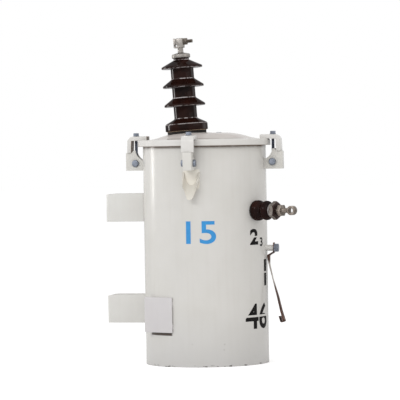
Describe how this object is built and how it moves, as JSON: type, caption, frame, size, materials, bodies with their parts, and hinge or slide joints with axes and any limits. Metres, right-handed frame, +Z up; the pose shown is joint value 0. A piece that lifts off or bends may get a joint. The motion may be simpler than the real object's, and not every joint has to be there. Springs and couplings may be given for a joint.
{
  "type": "pole mounted transformer",
  "caption": "Pole mounted distribution transformer: painted steel tank with a clamped domed cover, porcelain bushings, pole hangers, lifting lugs and an earth strap.",
  "frame": {"origin": "on the tank's axis, level with the foot of the tank", "axes": "+Z up along the tank, -X towards the pole side with the hangers, +X towards the earth terminal, lifting lugs on -Y and +Y"},
  "size_m": [0.5663, 0.5119, 0.9172],
  "materials": {
    "tank_paint": "gloss paint, light grey",
    "cover_paint": "gloss paint, pale grey",
    "zinc_steel": "zinc plated",
    "porcelain": "brown glaze",
    "gasket_rubber": "matte",
    "tinned_terminal": "tinned bronze",
    "grey_washer": "dull",
    "dark_nut": "darkened bronze",
    "strap_copper": "tarnished copper"
  },
  "bodies": {
    "root": {"tank_shell": "tank_paint", "tank_lip": "tank_paint", "tank_bottom": "tank_paint", "upper_hanger": "tank_paint", "lower_hanger": "tank_paint", "nameplate_bracket": "tank_paint", "lifting_lug_front": "tank_paint", "lifting_lug_back": "tank_paint", "earth_boss": "tank_paint", "tank_cover": "cover_paint", "clamp_arm_left": "cover_paint", "clamp_arm_front": "cover_paint", "clamp_arm_right": "cover_paint", "clamp_arm_back": "cover_paint", "clamp_bracket_left": "cover_paint", "clamp_bracket_front": "cover_paint", "clamp_bracket_right": "cover_paint", "clamp_bracket_back": "cover_paint", "clamp_bolt_left": "zinc_steel", "clamp_bolt_front": "zinc_steel", "clamp_bolt_right": "zinc_steel", "clamp_bolt_back": "zinc_steel", "clamp_pin_left": "zinc_steel", "clamp_pin_front": "zinc_steel", "clamp_pin_right": "zinc_steel", "clamp_pin_back": "zinc_steel", "earth_bolt": "zinc_steel", "hv_terminal_bolt": "zinc_steel", "hv_bushing": "porcelain", "lv_bushing_front": "porcelain", "lv_bushing_back": "porcelain", "cover_gasket": "gasket_rubber", "hv_gasket": "gasket_rubber", "lv_gasket_front": "gasket_rubber", "lv_gasket_back": "gasket_rubber", "hv_cap": "tinned_terminal", "hv_terminal": "tinned_terminal", "hv_keeper": "tinned_terminal", "lv_terminal_front": "tinned_terminal", "lv_terminal_back": "tinned_terminal", "lv_washer_front": "grey_washer", "lv_washer_back": "grey_washer", "lv_nut_front": "dark_nut", "lv_nut_back": "dark_nut", "earth_strap": "strap_copper"}
  },
  "joints": []
}
